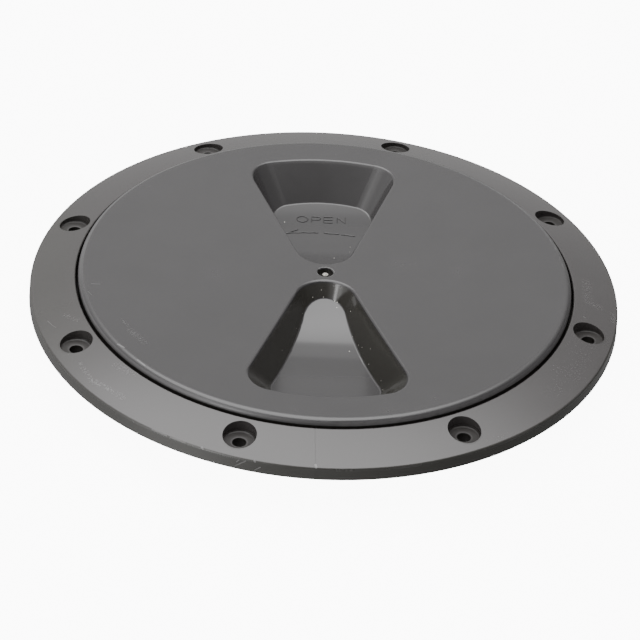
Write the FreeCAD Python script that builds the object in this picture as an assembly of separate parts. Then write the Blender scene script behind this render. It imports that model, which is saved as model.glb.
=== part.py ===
"""Screw-in deck inspection plate: a bolted deck ring, a screw lid with two finger recesses, and the lid's seal.

Millimetres, +Z up. The origin is the centre of the flange's underside, where it lies on the deck. The lid is
modelled screwed home. Its thread and the ring's are the two halves of one right-hand screw about Z, so any turn
of the lid with the matching rise leaves the same gap between their flanks.
"""
import FreeCAD, Part
import math
import os

Vector = FreeCAD.Vector
UP = Vector(0, 0, 1)
CENTRE = Vector(0, 0, 0)

# Deck ring, in plan from the bore outwards
bore_diameter = 151.0            # clear opening of the neck, between the thread's roots
ledge_width = 8.5                # seat of the lid and its seal, round the bore
flange_width = 15.6              # from the lid's pocket to the outer edge
neck_wall = 3.5                  # the neck that drops through the deck
flange_edge_draft = 0.3          # how far the outer edge leans in over its height

# Deck ring, heights above the deck
ledge_height = 3.0
pocket_rim_height = 7.75
flange_edge_height = 4.2
crown_bulge = 0.1                # rise of the flange's top above the straight line between its edges
neck_length = 13.8               # below the deck
flange_edge_round = 0.8
pocket_rim_round = 0.5
bore_chamfer = 0.5
neck_chamfer = 1.0
neck_corner_round = 0.8

# Bedding groove for sealant, in the flange's underside
bedding_groove_inset = 3.2       # from the flange's outer edge
bedding_groove_width = 1.6
bedding_groove_depth = 0.6

# Deck screws: pan heads, sunk into the flange
screw_count = 8
screw_edge_distance = 8.6        # from the flange's outer edge to the screws' circle
screw_first_angle = 22.5         # degrees from +X
screw_hole_diameter = 4.4
screw_head_pocket_diameter = 10.1    # at its foot
screw_pocket_draft = 5.0         # degrees from the vertical, of the pocket's wall
screw_pocket_round = 0.6         # where the wall meets the seat
screw_seat_height = 3.2          # seat of the screw's head, at the hole, above the deck
screw_seat_dish = 0.3            # the seat rises by this much towards the pocket's wall

# Screw thread, moulded on the lid's skirt and in the ring's bore
thread_lead = 4.0
thread_height = 1.5
thread_flank_angle = 20.0        # degrees
thread_radial_clearance = 0.6    # crest to root, both sides
thread_flank_clearance = 0.35    # along the axis, on each flank
thread_root_overlap = 0.4        # the ridge starts this deep inside its wall
ring_thread_turns = 2.75
lid_thread_turns = 2.5
lid_thread_inset = 1.4           # from the skirt's lower edge to the middle of the first turn
thread_run_out = 11.0            # degrees, over which a ridge's end ramps down

# Lid
lid_gap = 0.8                    # between the lid's rim and the pocket
lid_rim_height = 9.9             # top of the rim above the deck, before its edge is rounded
lid_dish = 1.7                   # the top is a shallow bowl, this much lower in the middle
lid_wall = 3.0                   # thickness of the top
lid_edge_round = 2.0
lid_rim_clearance = 0.6          # between the rim's lower edge and the ledge
skirt_wall = 3.0
skirt_length = 13.8              # below the ledge
skirt_corner_round = 1.5
skirt_chamfer = 0.8
rim_chamfer = 0.4
lid_angle = -5.0                 # degrees, where the finger recesses' line stands from the Y axis

# Seal: a round cord, squeezed between the ledge and the lid
seal_cord_diameter = 4.0
seal_squeeze = 0.3
seal_flat_width = 1.4            # width of each flat that the squeeze leaves
seal_side_clearance = 0.25
rim_wall = 2.4                   # the lid's rim outside the seal's groove

# Finger recesses: wedges, widest near the rim, with a scooped floor
recess_rim_land = 12.7           # from the lid's edge to the recess, at the top
recess_outer_slope = 43.0        # degrees from the vertical, of the wall that faces the middle
recess_corner_radius = 9.3
recess_corner_radius_change = 0.135  # per mm of depth
recess_corner_angle = 15.2       # degrees either side of the recess's middle line
recess_corner_angle_change = 0.27    # per mm of depth
recess_inner_land = 5.0          # from the lid's middle to the recess, at the top
recess_inner_slope = 27.2        # degrees from the vertical, of the narrow end's wall
recess_inner_radius = 10.2
recess_inner_radius_change = 0.36    # per mm of depth
recess_depth = 12.7              # at the lowest point of the floor
recess_low_point = 42.0          # from the lid's middle to the lowest point of the floor
recess_floor_radius = 90.0
recess_floor_round = 0.7
recess_mouth_round = 0.8
recess_wall = 2.6                # thickness of the tub that hangs under the top

# Moulding gate: a dimple in the middle of the top, with the cut sprue on its floor
gate_diameter = 5.4
gate_depth = 2.3
gate_round = 0.35
sprue_diameter = 2.4
sprue_draft = 0.18               # how far its side leans in over its height
sprue_height = 1.3
sprue_tip_diameter = 1.2         # of the dip where it was cut
sprue_tip_dip = 0.25
hub_diameter = 12.0
hub_depth = 4.0                  # below the underside of the top

# Ribs under the top, either side of the recesses
rib_angles = (-32.0, 0.0, 32.0)  # degrees from the line across the recesses
rib_thickness = 2.0
rib_depth = 5.5

# Worked out from the sizes above
bore_radius = bore_diameter / 2
pocket_radius = bore_radius + ledge_width
flange_radius = pocket_radius + flange_width
neck_radius = bore_radius + neck_wall
screw_circle_radius = flange_radius - screw_edge_distance
lid_radius = pocket_radius - lid_gap
skirt_radius = bore_radius - thread_height - thread_radial_clearance
inside_radius = skirt_radius - skirt_wall
skirt_bottom = ledge_height - skirt_length
rim_bottom = ledge_height + lid_rim_clearance
seal_height = seal_cord_diameter - seal_squeeze
groove_roof = ledge_height + seal_height
dish_radius = (lid_radius ** 2 + lid_dish ** 2) / (2 * lid_dish)

# Allowances of the modelling itself, which move nothing on the part
margin = 5.0                     # how far cutting solids reach past what they cut
wall_allowance = 1.0             # how far a recess's walls are drawn below the low point of its floor
same_place = 0.02                # two places closer than this are the same one


def arc(first, middle, last):
    return Part.Arc(first, middle, last).toShape()


def line(first, last):
    return Part.LineSegment(first, last).toShape()


def revolved(edges):
    """A closed profile in the XZ plane, turned once round the Z axis."""
    face = Part.Face(Part.Wire(Part.__sortEdges__(edges)))
    return face.revolve(CENTRE, UP, 360)


def profile(points):
    """Straight edges in the XZ plane through (radius, height) points, closed back to the first."""
    corners = [Vector(radius, 0, height) for radius, height in points]
    return [line(a, b) for a, b in zip(corners, corners[1:] + corners[:1])]


def rounded(edges, corner, radius):
    """The edges of a profile, with an arc in place of the corner where two of them meet."""
    first, second = [edge for edge in edges if any(end.Point.isEqual(corner, same_place) for end in edge.Vertexes)]
    fillet = Part.ChFi2d.FilletAlgo(first, second, Part.Plane(CENTRE, Vector(0, 1, 0)))
    fillet.perform(radius)
    kept = [edge for edge in edges if edge is not first and edge is not second]
    return kept + list(fillet.result(corner))


def solid_of(shape):
    """The one solid of a shape, with faces that share a surface joined."""
    shape = shape.removeSplitter()
    if len(shape.Solids) != 1:
        raise ValueError(f"expected one solid, found {len(shape.Solids)}")
    return shape.Solids[0]


def top_height(radius):
    """Height of the lid's dished top at a radius, on the sphere through its middle and its rim."""
    return lid_rim_height - lid_dish + dish_radius - math.sqrt(dish_radius ** 2 - radius ** 2)


def dished(first_radius, last_radius, depth):
    """An arc of the profile that follows the top from one radius to another, a depth below it."""
    first, middle, last = first_radius, (first_radius + last_radius) / 2, last_radius
    return arc(*[Vector(radius, 0, top_height(radius) - depth) for radius in (first, middle, last)])


def thread_ridge(root_radius, outwards, start_height, turns):
    """One helical ridge of trapezium section, from the +X side up and round, with its two ends run out."""
    direction = 1 if outwards else -1
    lean = math.tan(math.radians(thread_flank_angle))
    engaged = thread_height + thread_radial_clearance
    root_width = thread_lead / 2 + engaged * lean - thread_flank_clearance
    crest_width = root_width - 2 * thread_height * lean
    base_width = root_width + 2 * thread_root_overlap * lean
    base_radius = root_radius - direction * thread_root_overlap
    crest_radius = root_radius + direction * thread_height
    section = Part.Wire(profile([
        (base_radius, -base_width / 2),
        (crest_radius, -crest_width / 2),
        (crest_radius, crest_width / 2),
        (base_radius, base_width / 2),
    ]))
    rise = thread_lead * turns
    helix = Part.makeHelix(thread_lead, rise, root_radius)
    ridge = Part.Wire(helix.Edges).makePipeShell([section], True, True)
    ridge.translate(Vector(0, 0, start_height))
    for end_turns, sense in ((0.0, 1), (turns, -1)):
        ridge = ridge.cut(run_out_cutter(base_radius, crest_radius, start_height, end_turns, sense))
    return ridge


def run_out_cutter(base_radius, crest_radius, start_height, end_turns, sense):
    """A block with one upright face that ramps a ridge's end down from its crest to its base.

    The face passes through the base at the ridge's end and through the crest a short way along it. The ridge
    rises towards growing angles; sense is 1 at its first end and -1 at its last.
    """
    end_angle = 2 * math.pi * end_turns
    height = start_height + thread_lead * end_turns
    crest_angle = end_angle + sense * math.radians(thread_run_out)
    foot = Vector(base_radius * math.cos(end_angle), base_radius * math.sin(end_angle), 0)
    top = Vector(crest_radius * math.cos(crest_angle), crest_radius * math.sin(crest_angle), 0)
    along = (top - foot).normalize()
    inwards = Vector(-math.cos(end_angle), -math.sin(end_angle), 0)
    away = inwards if crest_radius < base_radius else -inwards
    normal = (away - along * away.dot(along)).normalize()
    near = foot - along * margin
    far = top + along * margin
    reach = normal * margin
    floor = Part.makePolygon([near, far, far + reach, near + reach, near])
    block = Part.Face(floor).extrude(Vector(0, 0, thread_lead))
    block.translate(Vector(0, 0, height - thread_lead / 2))
    return block


def make_deck_ring():
    """The flange, its pocket and ledge for the lid, the threaded neck and the sunk screw holes."""
    edge_top = Vector(flange_radius - flange_edge_draft, 0, flange_edge_height)
    rim_top = Vector(pocket_radius, 0, pocket_rim_height)
    across = edge_top - rim_top
    crown_middle = (edge_top + rim_top) * 0.5 + Vector(-across.z, 0, across.x).normalize() * crown_bulge
    corners = [
        rim_top,
        Vector(pocket_radius, 0, ledge_height),
        Vector(bore_radius + bore_chamfer, 0, ledge_height),
        Vector(bore_radius, 0, ledge_height - bore_chamfer),
        Vector(bore_radius, 0, bore_chamfer - neck_length),
        Vector(bore_radius + bore_chamfer, 0, -neck_length),
        Vector(neck_radius - neck_chamfer, 0, -neck_length),
        Vector(neck_radius, 0, neck_chamfer - neck_length),
        Vector(neck_radius, 0, 0),
        Vector(flange_radius, 0, 0),
        edge_top,
    ]
    edges = [line(a, b) for a, b in zip(corners, corners[1:])]
    edges.append(arc(edge_top, crown_middle, rim_top))
    edges = rounded(edges, edge_top, flange_edge_round)
    edges = rounded(edges, rim_top, pocket_rim_round)
    edges = rounded(edges, Vector(neck_radius, 0, 0), neck_corner_round)
    ring = revolved(edges)

    groove_outer = flange_radius - bedding_groove_inset
    groove = Part.makeCylinder(groove_outer, bedding_groove_depth)
    ring = ring.cut(groove.cut(Part.makeCylinder(groove_outer - bedding_groove_width, bedding_groove_depth)))

    for number in range(screw_count):
        angle = screw_first_angle + number * 360 / screw_count
        hole = screw_pocket()
        hole.translate(Vector(screw_circle_radius, 0, 0))
        hole.rotate(CENTRE, UP, angle)
        ring = ring.cut(hole)

    ridge_start = skirt_bottom + lid_thread_inset - thread_lead / 2
    ridge = thread_ridge(bore_radius, False, ridge_start, ring_thread_turns)
    return solid_of(ring.fuse(ridge))


def screw_pocket():
    """The space for one deck screw: its hole, the dished seat of its head and the drafted pocket above."""
    hole_radius = screw_hole_diameter / 2
    foot = Vector(screw_head_pocket_diameter / 2, 0, screw_seat_height + screw_seat_dish)
    top = pocket_rim_height + margin
    top_radius = foot.x + (top - foot.z) * math.tan(math.radians(screw_pocket_draft))
    edges = profile([
        (0, -margin),
        (hole_radius, -margin),
        (hole_radius, screw_seat_height),
        (foot.x, foot.z),
        (top_radius, top),
        (0, top),
    ])
    return revolved(rounded(edges, foot, screw_pocket_round))


def wedge_outline(height, widen):
    """Outline of a finger recess at a height, a ring of tangent arcs and lines about the +Y line.

    A large arc about the lid's middle closes the wide end, and a small one the narrow end. Two corner arcs and
    two straight sides, each the common tangent of a corner arc and the narrow end's arc, join them. widen moves
    the whole outline outwards.
    """
    outer_depth = top_height(lid_radius - recess_rim_land) - height
    inner_depth = top_height(recess_inner_land) - height
    outer = lid_radius - recess_rim_land - outer_depth * math.tan(math.radians(recess_outer_slope))
    corner = recess_corner_radius - outer_depth * recess_corner_radius_change
    corner_angle = math.radians(recess_corner_angle - outer_depth * recess_corner_angle_change)
    inner = recess_inner_land + inner_depth * math.tan(math.radians(recess_inner_slope))
    inner_radius = recess_inner_radius - inner_depth * recess_inner_radius_change

    inner_centre = inner + inner_radius
    corner_x = (outer - corner) * math.sin(corner_angle)
    corner_y = (outer - corner) * math.cos(corner_angle)
    run = math.hypot(corner_x, corner_y - inner_centre)
    side_lean = math.atan2(corner_x, corner_y - inner_centre)
    tangent = side_lean + math.acos((inner_radius - corner) / run)
    outer += widen
    corner += widen
    inner_radius += widen

    def at(x, y, radius, angle, side):
        return Vector(side * (x + radius * math.sin(angle)), y + radius * math.cos(angle), height)

    def corner_point(angle, side):
        return at(corner_x, corner_y, corner, angle, side)

    def inner_point(angle, side):
        return at(0, inner_centre, inner_radius, angle, side)

    corner_middle = (tangent + corner_angle) / 2
    edges = [arc(inner_point(tangent, -1), inner_point(math.pi, 1), inner_point(tangent, 1))]
    edges.append(line(inner_point(tangent, 1), corner_point(tangent, 1)))
    edges.append(arc(corner_point(tangent, 1), corner_point(corner_middle, 1), corner_point(corner_angle, 1)))
    edges.append(arc(corner_point(corner_angle, 1), at(0, 0, outer, 0, 1), corner_point(corner_angle, -1)))
    edges.append(arc(corner_point(corner_angle, -1), corner_point(corner_middle, -1), corner_point(tangent, -1)))
    edges.append(line(corner_point(tangent, -1), inner_point(tangent, -1)))
    return Part.Wire(edges)


def wedge(widen, floor_drop, top):
    """A finger recess as a solid along +Y, with leaning walls and the scooped floor, up to a height."""
    low = top_height(recess_low_point) - recess_depth - floor_drop
    outlines = [wedge_outline(low - wall_allowance, widen), wedge_outline(top, widen)]
    walls = Part.makeLoft(outlines, True, True)
    scoop_radius = recess_floor_radius + floor_drop
    scoop_centre = Vector(-lid_radius, recess_low_point, low + scoop_radius)
    scoop = Part.makeCylinder(scoop_radius, 2 * lid_radius, scoop_centre, Vector(1, 0, 0))
    return walls.common(scoop)


def recess_cutter():
    """The space of a finger recess, with the edge round its floor rounded."""
    cutter = wedge(0, 0, lid_rim_height + margin)
    low = top_height(recess_low_point) - recess_depth
    scoop_top = low + recess_floor_radius
    floor_edges = []
    for edge in cutter.Edges:
        middle = edge.valueAt((edge.FirstParameter + edge.LastParameter) / 2)
        ends = [vertex.Point for vertex in edge.Vertexes] + [middle]
        distances = [math.hypot(point.y - recess_low_point, point.z - scoop_top) for point in ends]
        if all(abs(distance - recess_floor_radius) < same_place for distance in distances):
            floor_edges.append(edge)
    return cutter.makeFillet(recess_floor_round, floor_edges)


def make_lid():
    """The dished top with its rim, skirt and hub, the two finger tubs, the ribs and the thread."""
    lid = revolved(lid_profile())
    space = under_top()
    tub = wedge(recess_wall, recess_wall, lid_rim_height).common(space)
    lid = lid.fuse([tub, half_turned(tub)] + make_ribs(space))
    cutter = recess_cutter()
    lid = lid.cut([cutter, half_turned(cutter)])
    lid = round_recess_mouths(lid.removeSplitter())
    lid.rotate(CENTRE, UP, lid_angle)
    ridge = thread_ridge(skirt_radius, True, skirt_bottom + lid_thread_inset, lid_thread_turns)
    return solid_of(lid.fuse(ridge))


def lid_profile():
    """Half the lid's section: top, rim, seal groove, skirt and hub, with the gate's dimple in the middle."""
    groove_outer = lid_radius - rim_wall
    groove_inner = groove_outer - 2 * seal_side_clearance - seal_width()
    gate_radius = gate_diameter / 2
    hub_radius = hub_diameter / 2
    sprue_radius = sprue_diameter / 2
    gate_floor = top_height(0) - gate_depth
    sprue_top = gate_floor + sprue_height
    hub_bottom = top_height(0) - lid_wall - hub_depth

    gate_mouth = Vector(gate_radius, 0, top_height(gate_radius))
    rim_corner = Vector(lid_radius, 0, lid_rim_height)
    under_corner = Vector(inside_radius, 0, top_height(inside_radius) - lid_wall)
    hub_foot = Vector(hub_radius, 0, top_height(hub_radius) - lid_wall)
    outside = [
        under_corner,
        Vector(inside_radius, 0, skirt_bottom),
        Vector(skirt_radius - skirt_chamfer, 0, skirt_bottom),
        Vector(skirt_radius, 0, skirt_bottom + skirt_chamfer),
        Vector(skirt_radius, 0, rim_bottom),
        Vector(groove_inner, 0, rim_bottom),
        Vector(groove_inner, 0, groove_roof),
        Vector(groove_outer, 0, groove_roof),
        Vector(groove_outer, 0, rim_bottom),
        Vector(lid_radius - rim_chamfer, 0, rim_bottom),
        Vector(lid_radius, 0, rim_bottom + rim_chamfer),
        rim_corner,
    ]
    middle = [
        gate_mouth,
        Vector(gate_radius, 0, gate_floor),
        Vector(sprue_radius, 0, gate_floor),
        Vector(sprue_radius - sprue_draft, 0, sprue_top),
        Vector(sprue_tip_diameter / 2, 0, sprue_top),
        Vector(0, 0, sprue_top - sprue_tip_dip),
        Vector(0, 0, hub_bottom),
        Vector(hub_radius, 0, hub_bottom),
        hub_foot,
    ]
    edges = [line(a, b) for corners in (outside, middle) for a, b in zip(corners, corners[1:])]
    edges.append(dished(lid_radius, gate_radius, 0))
    edges.append(dished(hub_radius, inside_radius, lid_wall))
    edges = rounded(edges, rim_corner, lid_edge_round)
    edges = rounded(edges, under_corner, skirt_corner_round)
    return rounded(edges, gate_mouth, gate_round)


def half_turned(shape):
    """A copy of a shape, half a turn round the lid's middle."""
    copy = shape.copy()
    copy.rotate(CENTRE, UP, 180)
    return copy


def under_top():
    """The space that ribs and tubs fill: from inside the hub to inside the skirt, below mid-thickness of the top."""
    first = (gate_diameter + hub_diameter) / 4
    last = inside_radius + skirt_wall / 2
    top_line = lid_wall / 2
    bottom = -recess_depth - recess_wall - margin
    return revolved([
        dished(first, last, top_line),
        line(Vector(last, 0, top_height(last) - top_line), Vector(last, 0, bottom)),
        line(Vector(last, 0, bottom), Vector(first, 0, bottom)),
        line(Vector(first, 0, bottom), Vector(first, 0, top_height(first) - top_line)),
    ])


def make_ribs(space):
    """Upright ribs from the hub out to the skirt, on both sides of the recesses."""
    low = top_height(0) - lid_wall - rib_depth
    ribs = []
    for angle in rib_angles:
        rib = Part.makeBox(lid_radius, rib_thickness, lid_rim_height - low, Vector(0, -rib_thickness / 2, low))
        rib.rotate(CENTRE, UP, angle)
        rib = rib.common(space)
        ribs += [rib, half_turned(rib)]
    return ribs


def round_recess_mouths(lid):
    """Round the edges where the recesses' walls come out of the top, the only ones there clear of the X axis."""
    mouth = []
    for edge in lid.Edges:
        middle = edge.valueAt((edge.FirstParameter + edge.LastParameter) / 2)
        points = [vertex.Point for vertex in edge.Vertexes] + [middle]
        on_top = all(abs(point.z - top_height(math.hypot(point.x, point.y))) < same_place for point in points)
        if on_top and abs(middle.y) > recess_inner_land / 2:
            mouth.append(edge)
    return lid.makeFillet(recess_mouth_round, mouth)


def seal_width():
    """Width of the seal's cord once it is squeezed flat on two sides."""
    cord = seal_cord_diameter / 2
    half_height = seal_height / 2
    return seal_flat_width + 2 * (cord - math.sqrt(cord ** 2 - half_height ** 2))


def make_seal():
    """The lid's seal, lying on the ledge with its upper flat against the lid."""
    middle_radius = lid_radius - rim_wall - seal_side_clearance - seal_width() / 2
    flat = seal_flat_width / 2
    half_width = seal_width() / 2
    middle_height = ledge_height + seal_height / 2

    def at(across, height):
        return Vector(middle_radius + across, 0, height)

    edges = [
        line(at(-flat, ledge_height), at(flat, ledge_height)),
        arc(at(flat, ledge_height), at(half_width, middle_height), at(flat, groove_roof)),
        line(at(flat, groove_roof), at(-flat, groove_roof)),
        arc(at(-flat, groove_roof), at(-half_width, middle_height), at(-flat, ledge_height)),
    ]
    return solid_of(revolved(edges))


def main():
    os.makedirs("parts", exist_ok=True)
    pieces = {"deck_ring": make_deck_ring(), "screw_lid": make_lid(), "lid_seal": make_seal()}
    for name, shape in pieces.items():
        shape.exportStep(f"parts/{name}.step")
        box = shape.BoundBox
        print(name, "volume", round(shape.Volume), "z", round(box.ZMin, 2), round(box.ZMax, 2), shape.isValid())


main()
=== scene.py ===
"""Looks of a screw-in deck inspection plate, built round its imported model.

Metres, in the model's own frame: +Z up, the origin at the centre of the flange's underside. The deck ring,
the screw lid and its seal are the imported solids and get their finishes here. The raised lettering and arrow
in the far finger recess and the ring's parting line are made here. The file is laid out as an add-on and run
as a script.
"""

import math

import bpy
import numpy as np
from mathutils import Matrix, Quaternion, Vector


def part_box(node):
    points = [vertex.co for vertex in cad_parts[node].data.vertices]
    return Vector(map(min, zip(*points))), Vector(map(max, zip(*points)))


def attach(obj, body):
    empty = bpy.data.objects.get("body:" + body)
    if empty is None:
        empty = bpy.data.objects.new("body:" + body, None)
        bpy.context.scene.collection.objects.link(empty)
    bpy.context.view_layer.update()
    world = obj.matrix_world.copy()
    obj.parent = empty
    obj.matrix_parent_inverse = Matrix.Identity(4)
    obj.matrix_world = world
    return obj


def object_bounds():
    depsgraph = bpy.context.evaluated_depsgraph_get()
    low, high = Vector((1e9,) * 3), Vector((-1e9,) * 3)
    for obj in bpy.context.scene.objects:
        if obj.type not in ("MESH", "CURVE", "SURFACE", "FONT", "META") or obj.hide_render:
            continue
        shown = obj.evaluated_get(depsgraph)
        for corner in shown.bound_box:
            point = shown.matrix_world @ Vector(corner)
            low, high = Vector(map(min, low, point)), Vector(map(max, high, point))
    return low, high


bl_info = {
    "name": "Deck inspection plate",
    "version": (1, 0, 0),
    "blender": (4, 5, 0),
    "location": "3D View > Sidebar > Deck plate",
    "description": "Finishes, lettering and stage of a screw-in deck inspection plate",
    "category": "Object",
}

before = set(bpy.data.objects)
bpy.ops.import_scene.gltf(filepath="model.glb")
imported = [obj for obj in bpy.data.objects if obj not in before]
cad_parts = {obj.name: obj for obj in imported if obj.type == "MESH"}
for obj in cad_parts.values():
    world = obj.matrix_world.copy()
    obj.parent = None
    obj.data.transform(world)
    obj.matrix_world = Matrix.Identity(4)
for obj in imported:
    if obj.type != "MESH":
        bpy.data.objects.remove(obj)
cad_bounds = [list(corner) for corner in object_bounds()]

MM = 0.001
RING_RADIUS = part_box("deck_ring")[1].x
LID_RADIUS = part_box("screw_lid")[1].x


class PlateForm(bpy.types.PropertyGroup):
    """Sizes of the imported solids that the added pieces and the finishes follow."""

    lid_edge_height: bpy.props.FloatProperty(
        name="Lid edge height", description="Where the dished top would meet the rim, above the deck",
        default=9.9 * MM, unit="LENGTH")
    lid_dish: bpy.props.FloatProperty(
        name="Lid dish", description="How much lower the middle of the top is than its edge",
        default=1.7 * MM, unit="LENGTH")
    lid_angle: bpy.props.FloatProperty(
        name="Recess line", description="Angle of the two finger recesses from the Y axis",
        default=math.radians(-5.0), unit="ROTATION")
    floor_low_point: bpy.props.FloatProperty(
        name="Floor's low point", description="From the lid's middle to the lowest point of a recess floor",
        default=42.0 * MM, unit="LENGTH")
    recess_depth: bpy.props.FloatProperty(
        name="Recess depth", description="Below the top, at the lowest point of the floor",
        default=12.7 * MM, unit="LENGTH")
    floor_radius: bpy.props.FloatProperty(
        name="Floor radius", description="Radius of the recesses' scooped floors",
        default=90.0 * MM, unit="LENGTH")
    pocket_radius: bpy.props.FloatProperty(
        name="Pocket radius", description="Inner edge of the flange's top, round the lid",
        default=84.0 * MM, unit="LENGTH")
    pocket_rim_height: bpy.props.FloatProperty(
        name="Pocket rim height", description="Inner edge of the flange's top, above the deck",
        default=7.75 * MM, unit="LENGTH")
    flange_edge_height: bpy.props.FloatProperty(
        name="Flange edge height", description="Outer edge of the flange's top, above the deck",
        default=4.2 * MM, unit="LENGTH")
    flange_edge_draft: bpy.props.FloatProperty(
        name="Flange edge draft", description="How far the flange's side wall leans in over its height",
        default=0.3 * MM, unit="LENGTH")
    flange_edge_round: bpy.props.FloatProperty(
        name="Flange edge round", description="Radius between the flange's top and its side wall",
        default=0.8 * MM, unit="LENGTH")
    screw_count: bpy.props.IntProperty(
        name="Screws", description="How many screws hold the ring; the first stands half a step from +X",
        default=8)
    screw_circle: bpy.props.FloatProperty(
        name="Screw circle", description="Radius of the circle that the screws stand on",
        default=91.0 * MM, unit="LENGTH")
    screw_hole_radius: bpy.props.FloatProperty(
        name="Screw hole radius", description="Radius of the holes for the screws",
        default=2.2 * MM, unit="LENGTH")
    screw_pocket_radius: bpy.props.FloatProperty(
        name="Screw pocket radius", description="Radius of the screw heads' pockets, at their foot",
        default=5.05 * MM, unit="LENGTH")
    screw_seat_height: bpy.props.FloatProperty(
        name="Screw seat height", description="Seats of the screws' heads, at the hole, above the deck",
        default=3.2 * MM, unit="LENGTH")
    gate_radius: bpy.props.FloatProperty(
        name="Gate radius", description="Radius of the dimple in the middle of the lid",
        default=2.7 * MM, unit="LENGTH")
    sprue_radius: bpy.props.FloatProperty(
        name="Sprue radius", description="Radius of the cut sprue in the dimple",
        default=1.2 * MM, unit="LENGTH")
    sprue_tip_depth: bpy.props.FloatProperty(
        name="Sprue tip depth", description="How far the sprue's tip lies below the middle of the lid's top",
        default=1.0 * MM, unit="LENGTH")
    crown_bulge: bpy.props.FloatProperty(
        name="Crown", description="Rise of the flange's top above the straight line between its edges",
        default=0.1 * MM, unit="LENGTH")


class PlateFinish(bpy.types.PropertyGroup):
    """Colours and surface of the mouldings and the seal."""

    ring_colour: bpy.props.FloatVectorProperty(
        name="Ring plastic", description="Colour of the deck ring's plastic", subtype="COLOR", min=0, max=1,
        default=(0.0257, 0.0234, 0.0231))
    lid_colour: bpy.props.FloatVectorProperty(
        name="Lid plastic", description="Colour of the screw lid's plastic", subtype="COLOR", min=0, max=1,
        default=(0.0242, 0.0229, 0.0233))
    # Painted shade and reflection: a warm tint on walls that face aside and on the flange's left top
    painted_tint_colour: bpy.props.FloatVectorProperty(
        name="Shaded plastic", description="Colour of the plastic on walls that face aside", subtype="COLOR",
        min=0, max=1, default=(0.0248, 0.0237, 0.0210))
    # Painted shade: the dark colour put in the gap round the lid, in the screw holes and in their pockets
    painted_shade_colour: bpy.props.FloatVectorProperty(
        name="Grime", description="Colour of the gap round the lid and of the screw holes", subtype="COLOR",
        min=0, max=1, default=(0.0050, 0.0042, 0.0030))
    # Also the colour of the painted highlights and the painted reflection on the rims and round the holes
    worn_and_highlight_colour: bpy.props.FloatVectorProperty(
        name="Worn plastic", description="Colour of the plastic where it is scuffed", subtype="COLOR",
        min=0, max=1, default=(0.125, 0.122, 0.123))
    dust_colour: bpy.props.FloatVectorProperty(
        name="Dust", description="Colour of dust grains", subtype="COLOR", min=0, max=1,
        default=(0.50, 0.48, 0.44))
    rubber_colour: bpy.props.FloatVectorProperty(
        name="Rubber", description="Colour of the seal", subtype="COLOR", min=0, max=1,
        default=(0.012, 0.012, 0.013))
    satin: bpy.props.FloatProperty(
        name="Satin roughness", description="Roughness of the lid's top and of the flange",
        default=0.26, min=0, max=1, subtype="FACTOR")
    sunk: bpy.props.FloatProperty(
        name="Seat roughness", description="Roughness of the screw heads' seats",
        default=0.36, min=0, max=1, subtype="FACTOR")
    polished: bpy.props.FloatProperty(
        name="Polished roughness", description="Roughness of the near recess's floor",
        default=0.05, min=0, max=1, subtype="FACTOR")
    grain_size: bpy.props.FloatProperty(
        name="Grain size", description="Size of the plastic's fine surface grain",
        default=0.45 * MM, unit="LENGTH")
    grain_height: bpy.props.FloatProperty(
        name="Grain height", description="Height of the plastic's fine surface grain",
        default=0.002 * MM, unit="LENGTH")
    mottling_size: bpy.props.FloatProperty(
        name="Mottling size", description="Size of the faint cloudy patches in the plastic",
        default=14.0 * MM, unit="LENGTH")
    mottling_tone: bpy.props.FloatProperty(
        name="Mottling tone", description="Share by which the patches change the colour",
        default=0.14, min=0, max=1, subtype="FACTOR")


class PlateLettering(bpy.types.PropertyGroup):
    """The word OPEN and the arrow that shows which way the lid turns, in the far recess."""

    stroke: bpy.props.FloatProperty(
        name="Stroke width", description="Width of a letter's raised stroke",
        default=0.42 * MM, unit="LENGTH")
    relief: bpy.props.FloatProperty(
        name="Relief", description="Height of the strokes above the recess floor",
        default=0.29 * MM, unit="LENGTH")
    letter_height: bpy.props.FloatProperty(
        name="Letter height", description="Height of the capitals",
        default=3.6 * MM, unit="LENGTH")
    foot: bpy.props.FloatProperty(
        name="Foot line", description="From the lid's middle to the foot of the letters",
        default=48.7 * MM, unit="LENGTH")
    arrow_stroke: bpy.props.FloatProperty(
        name="Arrow width", description="Width of the arrow's raised stroke",
        default=0.45 * MM, unit="LENGTH")


class PlatePartingLine(bpy.types.PropertyGroup):
    """The line that the mould's halves left across the flange."""

    azimuth: bpy.props.FloatProperty(
        name="Azimuth", description="Where the line crosses the flange, from +X",
        default=math.radians(-97.4), unit="ROTATION")
    lean: bpy.props.FloatProperty(
        name="Lean", description="How much further round the line stands at the pocket's rim",
        default=math.radians(-0.6), unit="ROTATION")
    width: bpy.props.FloatProperty(
        name="Width", description="Width of the raised line", default=0.25 * MM, unit="LENGTH")
    relief: bpy.props.FloatProperty(
        name="Relief", description="Height of the line above the surface", default=0.02 * MM, unit="LENGTH")
    end_gap: bpy.props.FloatProperty(
        name="End gap", description="From the line's ends to the pocket's rim and to the deck",
        default=0.6 * MM, unit="LENGTH")


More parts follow.
